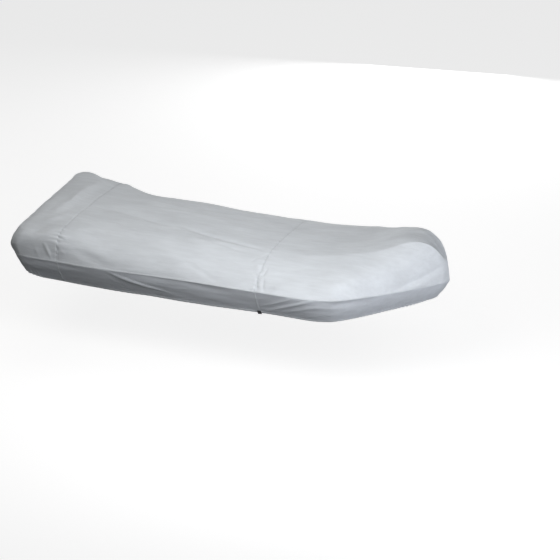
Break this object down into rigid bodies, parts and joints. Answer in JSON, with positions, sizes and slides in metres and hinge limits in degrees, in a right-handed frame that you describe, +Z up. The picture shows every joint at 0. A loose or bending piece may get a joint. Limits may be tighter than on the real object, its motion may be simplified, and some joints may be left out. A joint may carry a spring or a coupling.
{
  "type": "boat cover",
  "caption": "Fitted fabric cover for an inflatable boat, draped over tubes and deck, with a raised bow, a squared stern and a turned-in lower band drawn tight at the hem.",
  "frame": {"origin": "the point under the top, on the middle line and about half way along, where the cover rests on what it covers", "axes": "+X forward to the bow, +Y to port, +Z up"},
  "size_m": [3.9024, 1.6, 0.6462],
  "materials": {
    "panel_cloth": "silver-grey coated polyester, matt, fine plain weave",
    "band_cloth": "silver-grey coated polyester, matt, fine plain weave",
    "webbing": "black woven webbing"
  },
  "bodies": {
    "root": {"stern_panel": "panel_cloth", "middle_panel": "panel_cloth", "bow_panel": "panel_cloth", "stern_band": "band_cloth", "middle_band_starboard": "band_cloth", "middle_band_port": "band_cloth", "bow_band": "band_cloth", "tie_tab_starboard": "webbing", "tie_tab_port": "webbing"}
  },
  "joints": []
}
